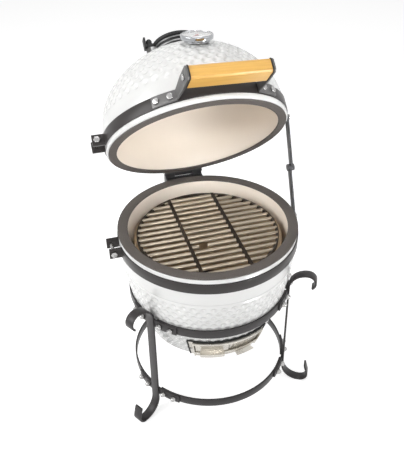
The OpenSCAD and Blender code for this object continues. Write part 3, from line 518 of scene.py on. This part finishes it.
@dataclass
class Bowl:
    """The ceramic bowl with its smooth collar, groove, dimples and draft opening.

    Args:
        rim_r: Outer radius of the rim.
        wall: Thickness of the side.
        depth: Depth of the bottom under the seam, from which the other depths are taken too.
        belly_arc: Radius of the side's arc.
        belly_drop: Depth of the arc's centre.
        floor_t: Thickness of the bottom.
        chamfer: Chamfer round the bottom.
        gasket_h: Room for the felt on the rim.
        rounding: Rounding of the rim's edges.
        collar_drop: Depth down to which the outside is upright.
        liner_drop: Depth from which the inside follows the arc.
        groove_top: Depth of the groove's upper edge.
        groove_bottom: Depth of the groove's lower edge.
        groove_depth: How far the groove is sunk.
        field_gap: Space between the groove and the dimples.
        row_multiple: The number of dimples in a row is a multiple of this.
        window_top: Depth of the draft opening's upper edge.
        window_bottom: Depth of its lower edge.
        window_mid_deg: Its middle's angle round the bowl.
        window_span_deg: Its angle from side to side.
        inside_share: Share of the wall past which a face is an inner one.
        floor_share: Share of the bottom past which a face is an inner one.
        columns: Columns of faces round the bowl.
        row: Height of a row of faces where there are dimples.
        smooth_row: Height of a row on the smooth zone.
        inner_row: Height of a row inside.
    """

    rim_r: float = 162 * MM
    wall: float = 17 * MM
    depth: float = 222 * MM
    belly_arc: float = 515 * MM
    belly_drop: float = 8 * MM
    floor_t: float = 13 * MM
    chamfer: float = 5 * MM
    gasket_h: float = 3 * MM
    rounding: float = 1.5 * MM
    collar_drop: float = 33.5 * MM
    liner_drop: float = 20 * MM
    groove_top: float = 60 * MM
    groove_bottom: float = 68 * MM
    groove_depth: float = 1.6 * MM
    field_gap: float = 1 * MM
    row_multiple: int = 56
    window_top: float = 175 * MM
    window_bottom: float = 206 * MM
    window_mid_deg: float = 256.5
    window_span_deg: float = 22.0
    inside_share: float = 0.6
    floor_share: float = 0.5
    columns: int = 540
    row: float = 1.3 * MM
    smooth_row: float = 4 * MM
    inner_row: float = 8 * MM

    def radius(self, drop: float, offset: float = 0.0) -> float:
        """Radius of the outer side, or of a surface beside it.

        Args:
            drop: Depth under the seam.
            offset: Distance outside the outer side.

        Returns:
            The radius.
        """
        rise = drop - self.belly_drop
        return self.rim_r - self.belly_arc + math.sqrt((self.belly_arc + offset) ** 2 - rise**2)

    def along(self, drop: float) -> float:
        """Distance down the outer side's arc.

        Args:
            drop: Depth under the seam.

        Returns:
            The distance.
        """
        return self.belly_arc * math.asin((drop - self.belly_drop) / self.belly_arc)

    def drop_at(self, along: float) -> float:
        """Depth under the seam.

        Args:
            along: Distance down the outer side's arc.

        Returns:
            The depth.
        """
        return self.belly_drop + self.belly_arc * math.sin(along / self.belly_arc)

    def section(self) -> list[Point2]:
        """Returns the half section, from the bottom's middle up the outside and down the inside."""
        edge = self.rounding
        inside_floor = self.depth - self.floor_t
        inner_r = self.rim_r - self.wall
        outside = steps_through((self.depth - self.chamfer, self.window_bottom, self.window_top,
                                 self.groove_bottom, self.groove_top, self.collar_drop),
                                (self.row, self.row, self.row, self.row, self.smooth_row))
        inside = steps_through((self.collar_drop, self.window_top, self.window_bottom),
                               (self.inner_row, self.row))[1:] + [inside_floor]
        points = [(0.0, -self.depth), (self.radius(self.depth) - self.chamfer, -self.depth)]
        points += [(self.radius(drop), -drop) for drop in outside]
        points += [(self.rim_r, -self.collar_drop), (self.rim_r, -self.gasket_h - edge)]
        points += [(self.rim_r - edge, -self.gasket_h), (inner_r + edge, -self.gasket_h)]
        points += [(inner_r, -self.gasket_h - edge)]
        points += [(self.radius(self.liner_drop, -self.wall), -self.liner_drop)]
        points += [(self.radius(drop, -self.wall), -drop) for drop in inside]
        return points + [(0.0, -inside_floor)]

    def cut_window(self, shape: bmesh.types.BMesh) -> None:
        """Opens the draft window through both sides of the wall.

        Args:
            shape: The revolved bowl.
        """
        middle, half = math.radians(self.window_mid_deg), math.radians(self.window_span_deg / 2)
        doomed = []
        for face in shape.faces:
            spot = face.calc_center_median()
            away = (math.atan2(spot.y, spot.x) - middle + math.pi) % math.tau - math.pi
            if abs(away) < half and -self.window_bottom < spot.z < -self.window_top:
                doomed.append(face)
        bmesh.ops.delete(shape, geom=doomed, context="FACES")
        rim = [edge for edge in shape.edges if edge.is_boundary]
        bmesh.ops.bridge_loops(shape, edges=rim)
        bmesh.ops.recalc_face_normals(shape, faces=shape.faces)

    def build(self) -> None:
        """Makes the bowl's piece."""
        shape = spin_profile(self.section(), self.columns, closed=False)
        self.cut_window(shape)
        field = Dimples(self.along(self.groove_bottom) + self.field_gap, self.along(self.depth - self.chamfer),
                        lambda along: self.radius(self.drop_at(along)), multiple=self.row_multiple)
        for face in shape.faces:
            spot = face.calc_center_median()
            within = math.hypot(spot.x, spot.y) < self.radius(-spot.z) - self.inside_share * self.wall
            above = spot.z > -self.depth + self.floor_share * self.floor_t
            face.material_index = 1 if within and above else 0
        for vert in shape.verts:
            drop = -vert.co.z
            across = math.hypot(vert.co.x, vert.co.y)
            if drop < self.collar_drop or abs(across - self.radius(drop)) > ON_SURFACE:
                continue
            sunk = field.depth_at(self.along(drop), math.atan2(vert.co.y, vert.co.x))
            if self.groove_top < drop < self.groove_bottom:
                share = (drop - self.groove_top) / (self.groove_bottom - self.groove_top)
                sunk = self.groove_depth * math.sin(math.pi * share) ** 2
            lean = (drop - self.belly_drop) / self.belly_arc
            outwards = Vector((vert.co.x / across, vert.co.y / across, 0.0)) * math.sqrt(1 - lean * lean)
            outwards.z = -lean
            vert.co -= outwards * sunk
        shape.transform(Matrix.Translation((0, 0, SEAM_Z)))
        add_piece(shape, "bowl_dimpled", "base", [GLAZE, CREAM], ["base_shell"], smooth_deg=CERAMIC_SMOOTH_DEG)


@dataclass
class Dome:
    """The ceramic dome with its smooth collar, dimples and chimney.

    Args:
        rim_r: Outer radius of the rim.
        wall: Thickness of the shell.
        height: Height of the crown over the seam, from which the other heights are taken too.
        side_r: Radius of the side's arc.
        side_z: Height of that arc's centre.
        rim_z: Height of the rim.
        rounding: Rounding of the rim's edges.
        land_r: Radius of the flat land round the chimney.
        chimney_r: Radius of the chimney's bore.
        field_z: Height at which the dimples start.
        field_slack: Height under that from which vertices are looked at.
        field_gap: Space between the dimples and the land.
        inside_share: Share of the wall past which a face is an inner one.
        columns: Columns of faces round the dome.
        row: Height of a row of faces outside.
        collar_row: Height of a row on the upright collar.
        inner_row: Height of a row inside.
    """

    rim_r: float = 162 * MM
    wall: float = 17 * MM
    height: float = 172 * MM
    side_r: float = 120 * MM
    side_z: float = 34 * MM
    rim_z: float = 3.3 * MM
    rounding: float = 1.5 * MM
    land_r: float = 48 * MM
    chimney_r: float = 35.05 * MM
    field_z: float = 58 * MM
    field_slack: float = 1 * MM
    field_gap: float = 2 * MM
    inside_share: float = 0.7
    columns: int = 480
    row: float = 1.4 * MM
    collar_row: float = 6 * MM
    inner_row: float = 8 * MM

    def __post_init__(self) -> None:
        """Works out the crown arc, tangent to the side arc, and the land on it."""
        self.side_x = self.rim_r - self.side_r
        reach = self.height - self.side_r
        self.crown_z = (reach**2 - self.side_x**2 - self.side_z**2) / (2 * (reach - self.side_z))
        self.crown_r = self.height - self.crown_z
        self.join = math.atan2(self.side_z - self.crown_z, self.side_x)
        self.side_len = self.side_r * self.join
        self.land_z = self.crown_z + math.sqrt(self.crown_r**2 - self.land_r**2)
        self.land_along = self.along(self.land_r, self.land_z)

    def point(self, along: float, offset: float = 0.0) -> Point2:
        """Radius and height on the dome's section.

        Args:
            along: Distance up the outer section from where the side arc starts.
            offset: Distance outside that section.

        Returns:
            The point.
        """
        if along <= self.side_len:
            angle, radius = along / self.side_r, self.side_r + offset
            return self.side_x + radius * math.cos(angle), self.side_z + radius * math.sin(angle)
        angle, radius = self.join + (along - self.side_len) / self.crown_r, self.crown_r + offset
        return radius * math.cos(angle), self.crown_z + radius * math.sin(angle)

    def along(self, across: float, height: float) -> float:
        """Distance up the outer section at the place nearest to a point.

        Args:
            across: The point's radius.
            height: The point's height over the seam.

        Returns:
            The distance from where the side arc starts.
        """
        angle = math.atan2(height - self.side_z, across - self.side_x)
        if angle <= self.join:
            return self.side_r * angle
        return self.side_len + self.crown_r * (math.atan2(height - self.crown_z, across) - self.join)

    def section(self) -> list[Point2]:
        """Returns the closed half section: outside, land, chimney and inside."""
        edge = self.rounding
        inner_r = self.rim_r - self.wall
        inner_top = self.crown_z + math.sqrt((self.crown_r - self.wall) ** 2 - self.chimney_r**2)
        inner_angle = math.atan2(inner_top - self.crown_z, self.chimney_r)
        inner_along = self.side_len + self.crown_r * (inner_angle - self.join)
        collar = steps_between(self.rim_z + edge, self.side_z, self.collar_row)
        points = [(self.rim_r - edge, self.rim_z), (self.rim_r, self.rim_z + edge)]
        points += [(self.rim_r, z) for z in collar[1:]]
        points += [self.point(along) for along in steps_between(0.0, self.land_along, self.row)[1:]]
        points += [(self.chimney_r, self.land_z)]
        points += [self.point(along, -self.wall) for along in steps_between(inner_along, 0.0, self.inner_row)]
        return points + [(inner_r, self.rim_z + edge), (inner_r + edge, self.rim_z)]

    def build(self) -> None:
        """Makes the dome's piece."""
        shape = spin_profile(self.section(), self.columns, closed=True)
        start = self.side_r * math.asin((self.field_z - self.side_z) / self.side_r)
        field = Dimples(start, self.land_along - self.field_gap, lambda along: self.point(along)[0])
        for face in shape.faces:
            spot = face.calc_center_median()
            across = math.hypot(spot.x, spot.y)
            there = (self.rim_r, spot.z)
            if spot.z >= self.side_z:
                there = self.point(self.along(across, spot.z))
            inside = math.hypot(there[0] - across, there[1] - spot.z) > self.inside_share * self.wall
            face.material_index = 1 if inside else 0
        for vert in shape.verts:
            across, height = math.hypot(vert.co.x, vert.co.y), vert.co.z
            if height < self.field_z - self.field_slack or across < self.land_r:
                continue
            along = self.along(across, height)
            there = self.point(along)
            if math.hypot(there[0] - across, there[1] - height) > ON_SURFACE:
                continue
            sunk = field.depth_at(along, math.atan2(vert.co.y, vert.co.x))
            inner = self.point(along, -1.0)
            inwards, sideways = Vector((inner[0] - there[0], inner[1] - there[1])), vert.co.xy / across
            vert.co += Vector((sideways.x * inwards.x, sideways.y * inwards.x, inwards.y)) * sunk
        shape.transform(LID.matrix() @ Matrix.Translation((0, 0, SEAM_Z)))
        add_piece(shape, "dome_dimpled", "lid", [GLAZE, CREAM], ["lid_shell"], smooth_deg=CERAMIC_SMOOTH_DEG)


@dataclass
class Gaskets:
    """The two felt rings with soft edges.

    Args:
        base_r: Outer radius of the bowl's ring.
        lid_r: Outer radius of the lid's ring.
        inner_r: Inner radius of both.
        height: Their height.
        lid_gap: Space between the rings when the lid is shut.
        soft: Rounding of their edges.
        soft_step_deg: Angle of a step round an edge.
        columns: Columns of faces round a ring.
    """

    base_r: float = 163 * MM
    lid_r: float = 159 * MM
    inner_r: float = 144.5 * MM
    height: float = 3 * MM
    lid_gap: float = 0.3 * MM
    soft: float = 1.1 * MM
    soft_step_deg: float = 30.0
    columns: int = 160

    def ring(self, outer_r: float, bottom: float) -> bmesh.types.BMesh:
        """Makes a felt ring.

        Args:
            outer_r: Its outer radius.
            bottom: The height of its underside.

        Returns:
            The ring in the shut pose.
        """
        top = bottom + self.height
        corners = [(outer_r, bottom, 1, 1), (outer_r, top, 1, -1),
                   (self.inner_r, top, -1, -1), (self.inner_r, bottom, -1, 1)]
        points = []
        for index, (r, z, out, up) in enumerate(corners):
            for turn in steps_between(-90.0 + 90.0 * index, 90.0 * index, self.soft_step_deg):
                angle = math.radians(turn)
                points.append((r - out * self.soft + self.soft * math.cos(angle),
                               z + up * self.soft + self.soft * math.sin(angle)))
        return spin_profile(points, self.columns, closed=True)

    def build(self) -> None:
        """Makes both felt rings."""
        base_ring = self.ring(self.base_r, SEAM_Z - self.height)
        add_piece(base_ring, "felt_on_bowl", "base", [FELT], ["base_gasket"])
        lid_ring = self.ring(self.lid_r, SEAM_Z + self.lid_gap)
        lid_ring.transform(LID.matrix())
        add_piece(lid_ring, "felt_on_dome", "lid", [FELT], ["lid_gasket"])


@dataclass
class GaugeFace:
    """The thermometer's scale: ticks and numerals on the dial.

    Args:
        tick_r: Radius at which the ticks end.
        long_tick: Length of the tick at a numeral.
        short_tick: Length of the ticks between.
        tick_w: Width of a tick.
        print_t: Thickness of the print.
        numeral_r: Radius of the numerals' middles.
        numeral_size: Size of the numerals.
        start_deg: Angle of the first tick.
        sweep_deg: Angle from the first tick to the last.
        numerals: The numbers in order.
        ticks_each: Ticks from one numeral to the next.
    """

    tick_r: float = 20.5 * MM
    long_tick: float = 3.2 * MM
    short_tick: float = 1.8 * MM
    tick_w: float = 0.5 * MM
    print_t: float = 0.06 * MM
    numeral_r: float = 13.8 * MM
    numeral_size: float = 4.6 * MM
    start_deg: float = 225.0
    sweep_deg: float = 270.0
    numerals: tuple[str, ...] = ("50", "150", "250", "350", "450")
    ticks_each: int = 5

    def plane(self) -> Matrix:
        """Returns the frame of the dial's face, with its Y axis up the dome."""
        joint = JOINTS["pointer_turn"]
        middle, axis = Vector(joint["pos_m"]), Vector(joint["axis"]).normalized()
        face = max((vert.co - middle).dot(axis) for vert in frame["nodes"]["gauge_dial"].data.vertices)
        up = (LID.matrix() @ LID.gauge()).to_3x3() @ Vector((0.0, 1.0, 0.0))
        turned = Matrix((up.cross(axis), up, axis)).transposed().to_4x4()
        turned.translation = middle + axis * face
        return turned

    def numeral(self, text: str) -> bpy.types.Mesh:
        """Draws a number.

        Args:
            text: The number.

        Returns:
            A thin mesh of it, centred on the origin.
        """
        curve = bpy.data.curves.new("numeral", "FONT")
        curve.body, curve.size, curve.extrude = text, self.numeral_size, self.print_t / 2
        curve.align_x, curve.align_y = "CENTER", "CENTER"
        holder = bpy.data.objects.new("numeral", curve)
        bpy.context.scene.collection.objects.link(holder)
        drawn = bpy.data.meshes.new_from_object(holder.evaluated_get(bpy.context.evaluated_depsgraph_get()))
        bpy.data.objects.remove(holder)
        return drawn

    def build(self) -> None:
        """Prints the ticks and numerals."""
        shape = bmesh.new()
        count = self.ticks_each * (len(self.numerals) - 1)
        lift = self.print_t / 2
        for index in range(count + 1):
            angle = math.radians(self.start_deg - self.sweep_deg * index / count)
            length = self.short_tick if index % self.ticks_each else self.long_tick
            size = Matrix.Diagonal((length, self.tick_w, self.print_t, 1.0))
            place = Matrix.Rotation(angle, 4, "Z") @ Matrix.Translation((self.tick_r - length / 2, 0, lift))
            bmesh.ops.create_cube(shape, size=1.0, matrix=place @ size)
        for index, text in enumerate(self.numerals):
            angle = math.radians(self.start_deg - self.sweep_deg * index / (len(self.numerals) - 1))
            drawn = self.numeral(text)
            spot = (self.numeral_r * math.cos(angle), self.numeral_r * math.sin(angle), lift)
            drawn.transform(Matrix.Translation(spot))
            shape.from_mesh(drawn)
        bmesh.ops.remove_doubles(shape, verts=shape.verts, dist=PRINT_MERGE)
        shape.transform(self.plane())
        add_piece(shape, "dial_scale", "lid", [INK])


@dataclass
class Metalwork:
    """The CAD pieces with their edges rounded: bands, hinge, stay, handle, vent, door, grates and stand.

    Args:
        hair: Rounding of the thermometer's dial, pointer and lens.
        fine: Rounding of thin sheet and small fasteners.
        small: Rounding of straps and castings.
        broad: Rounding of domed bolts.
        wood: Rounding of the bamboo grip.
        clay: Rounding of the fireclay pieces.
        groove_r: Inner and outer radius of the grooves round the vent's base, whose floors are painted dark as
            shade.
        lug_x: The vent's lug lies to the left of this, in the shut lid.
        grate_ring_r: The cooking grate's ring lies outside this radius; the ring is painted dark as shade.
        cross_x: Distance of the grate's cross bars from its middle.
        cross_half: Half of the width over which a cross bar is painted dark as shade.
    """

    hair: float = 0.1 * MM
    fine: float = 0.25 * MM
    small: float = 0.5 * MM
    broad: float = 1.2 * MM
    wood: float = 1.9 * MM
    clay: float = 2.4 * MM
    groove_r: Point2 = (36 * MM, 39.6 * MM)
    lug_x: float = -40.5 * MM
    grate_ring_r: float = 124.5 * MM
    cross_x: float = 44 * MM
    cross_half: float = 3.6 * MM

    def build(self) -> None:
        """Dresses each piece."""
        for node, body in (("base_band", "base"), ("lid_band", "lid")):
            soften(node, body, BAND, self.small)
        for node, body in (("hinge_base", "base"), ("hinge_lid", "lid")):
            soften(node, body, HINGE, self.small)
        for node in ("leg_left", "leg_right", "leg_back"):
            soften(node, "base", STAND, self.small)
        for level in ("upper", "lower"):
            for side in ("front", "left", "right"):
                soften(f"{level}_arc_{side}", "base", STAND, self.small)
        for node in ("stay_lower", "stay_upper"):
            soften(node, node, STAY, self.small)
        for node in ("base_band_bolt", "hinge_pin", "stay_base_stud", "stand_bolts", "stand_nuts",
                     "draft_screws"):
            soften(node, "base", STEEL, self.fine)
        for node in ("lid_band_bolt", "stay_lid_stud", "handle_screws", "handle_bolts", "gauge_probe",
                     "gauge_nut"):
            soften(node, "lid", STEEL, self.broad if node == "handle_bolts" else self.small, 3)
        soften("wheel_stud", "vent_cap", STEEL, self.small)
        soften("handle_grip", "lid", BAMBOO, self.wood, 4)
        soften("handle_pads", "lid", PAD, self.fine)
        for side in ("left", "right"):
            soften(f"handle_bracket_{side}", "lid", BRACKET, self.small)
        soften("draft_frame", "base", DOOR, self.fine)
        soften("draft_seal", "base", SEAL, self.small)
        soften("draft_door", "draft_door", DOOR, self.fine)
        soften("draft_screen", "draft_screen", DOOR, self.fine, 1)
        soften("gauge_case", "lid", CHROME, self.small, 3)
        self.vent_base()
        for node, body in (("vent_cap", "vent_cap"), ("vent_wheel", "vent_wheel"), ("vent_pivot", "lid")):
            soften(node, body, CAST, self.small)
        self.cook_grate()
        soften("charcoal_grate", "charcoal_grate", COAL, self.small)
        for node in ("fire_bowl", "fire_ring"):
            soften(node, "base", FIRECLAY, self.clay)
        for node, body, finish in (("gauge_dial", "lid", DIAL), ("gauge_pointer", "gauge_pointer", POINTER),
                                   ("gauge_lens", "lid", LENS)):
            soften(node, body, finish, self.hair, 1)

    def vent_base(self) -> None:
        """Dresses the vent's base: bright rings, painted shade on the groove floors and a grey lug."""
        shut = LID.matrix().inverted()
        inner, outer = self.groove_r
        piece = soften("vent_base", "lid", VENT_BASE, self.small)
        # Painted shade: the groove floors take the dark cast-iron finish.
        paint(piece, CAST, lambda spot: inner < math.hypot(*(shut @ spot).xy) < outer)
        paint(piece, LUG, lambda spot: (shut @ spot).x < self.lug_x)

    def cook_grate(self) -> None:
        """Dresses the cooking grate: plated bars, with painted shade on the ring and on the cross bars."""
        piece = soften("cook_grate", "cook_grate", GRATE, self.fine, 1)
        # Painted shade on the ring and the cross bars.
        paint(piece, GRATE_PAINTED_SHADE, lambda spot: spot.xy.length > self.grate_ring_r
              or abs(abs(spot.x) - self.cross_x) < self.cross_half)


def shown_rays(tree: bpy.types.NodeTree) -> Socket:
    """Tells the rays that show a surface from those that only light others.

    Args:
        tree: The material's or world's nodes.

    Returns:
        A socket that is 1 for camera, glossy and transmission rays.
    """
    rays = tree.nodes.new("ShaderNodeLightPath").outputs
    seen = math_node(tree, "MAXIMUM", rays["Is Camera Ray"], rays["Is Glossy Ray"])
    return math_node(tree, "MAXIMUM", seen, rays["Is Transmission Ray"])


@dataclass(frozen=True)
class Lamp:
    """A soft square lamp.

    Args:
        name: Its name.
        place: Where it stands.
        aim: The point that it faces.
        size: Its side.
        watts: Its power.
        spread_deg: Angle to which its light is held.
    """

    name: str
    place: Triple
    aim: Triple
    size: float
    watts: float
    spread_deg: float = 180.0

    def build(self) -> None:
        """Hangs the lamp."""
        data = bpy.data.lights.new(self.name, "AREA")
        data.size, data.energy, data.spread = self.size, self.watts, math.radians(self.spread_deg)
        holder = bpy.data.objects.new(self.name, data)
        bpy.context.scene.collection.objects.link(holder)
        holder.location = self.place
        holder.rotation_mode = "QUATERNION"
        holder.rotation_quaternion = (Vector(self.aim) - Vector(self.place)).to_track_quat("-Z", "Y")


LAMPS = (
    Lamp("key", (-1.7, -0.25, 1.25), (0.0, 0.0, 0.42), 1.2, 23.0),
    Lamp("front", (-0.3, -1.8, 1.25), (0.0, 0.0, 0.42), 1.3, 5.0),
    Lamp("into_lid", (0.9, -1.3, 0.22), (-0.02, 0.12, 0.59), 0.5, 0.55, 24.0),
    Lamp("into_bowl", (-0.1, -1.2, 1.3), (0.0, 0.14, 0.35), 0.35, 0.17, 15.0),
    Lamp("fill", (1.6, -0.9, 1.3), (0.0, 0.0, 0.4), 1.4, 4.0),
    Lamp("top", (0.2, 0.6, 2.4), (0.0, 0.0, 0.4), 1.3, 12.0),
)


@dataclass
class Studio:
    """The pale floor, the soft light and the camera of the photograph.

    Args:
        camera_at: Where the camera stands.
        camera_looks: The way that it faces.
        camera_roll_deg: Its roll.
        lens_mm: Focal length.
        sensor_mm: Width of the sensor.
        clip: Nearest and farthest distance that it sees.
        floor_half: Half of the floor's side.
        floor_white: Level of the floor's colour.
        floor_rough: Roughness of the floor.
        floor_glow: Glow of the floor to the rays that show it.
        sky: Level of the light from all round.
    """

    camera_at: Triple = (-277.4 * MM, -944.1 * MM, SEAM_Z + 686.9 * MM)
    camera_looks: Triple = (0.2221, 0.7862, -0.5767)
    camera_roll_deg: float = -0.73
    lens_mm: float = 53.0
    sensor_mm: float = 36.0
    clip: Point2 = (0.05, 50.0)
    floor_half: float = 6.0
    floor_white: float = 0.9
    floor_rough: float = 0.9
    floor_glow: float = 0.60
    sky: float = 0.30

    def camera(self) -> None:
        """Sets the camera."""
        data = bpy.data.cameras.new("camera")
        data.sensor_fit = "AUTO"
        data.sensor_width = self.sensor_mm
        data.lens = self.lens_mm
        data.clip_start, data.clip_end = self.clip
        holder = bpy.data.objects.new("camera", data)
        bpy.context.scene.collection.objects.link(holder)
        turn = Vector(self.camera_looks).to_track_quat("-Z", "Y").to_matrix().to_4x4()
        roll = Matrix.Rotation(math.radians(self.camera_roll_deg), 4, "Z")
        holder.matrix_world = Matrix.Translation(self.camera_at) @ turn @ roll
        bpy.context.scene.camera = holder

    def floor(self) -> None:
        """Lays a white floor that keeps soft shadows."""
        shape = bmesh.new()
        bmesh.ops.create_grid(shape, x_segments=1, y_segments=1, size=self.floor_half)
        mesh = bpy.data.meshes.new("floor")
        shape.to_mesh(mesh)
        shape.free()
        floor = bpy.data.objects.new("floor", mesh)
        bpy.context.scene.collection.objects.link(floor)
        white = bpy.data.materials.new("floor_white")
        white.use_nodes = True
        tree = white.node_tree
        shader = tree.nodes["Principled BSDF"]
        shader.inputs["Base Color"].default_value = (*[self.floor_white] * 3, 1.0)
        shader.inputs["Roughness"].default_value = self.floor_rough
        shader.inputs["Specular IOR Level"].default_value = 0.0
        shader.inputs["Emission Color"].default_value = (1.0, 1.0, 1.0, 1.0)
        glow = math_node(tree, "MULTIPLY", shown_rays(tree), self.floor_glow)
        tree.links.new(glow, shader.inputs["Emission Strength"])
        mesh.materials.append(white)

    def world(self) -> None:
        """Lights the scene from all round, with a white background for rays that show it."""
        world = bpy.data.worlds.new("studio")
        world.use_nodes = True
        bpy.context.scene.world = world
        tree = world.node_tree
        ground = tree.nodes["Background"]
        ground.inputs["Color"].default_value = (1.0, 1.0, 1.0, 1.0)
        level = tree.nodes.new("ShaderNodeMapRange")
        level.inputs["To Min"].default_value = self.sky
        level.inputs["To Max"].default_value = 1.0
        tree.links.new(shown_rays(tree), level.inputs["Value"])
        tree.links.new(level.outputs["Result"], ground.inputs["Strength"])

    def build(self) -> None:
        """Sets the stage."""
        self.camera()
        self.floor()
        self.world()
        for lamp in LAMPS:
            lamp.build()
        bpy.context.scene.view_settings.view_transform = "Standard"


def main() -> None:
    """Builds the grill's looks."""
    logging.basicConfig(level=logging.INFO, format="%(name)s: %(message)s")
    Studio().build()
    for part in (Bowl(), Dome(), Gaskets(), Metalwork(), GaugeFace()):
        part.build()


if __name__ == "__main__":
    main()
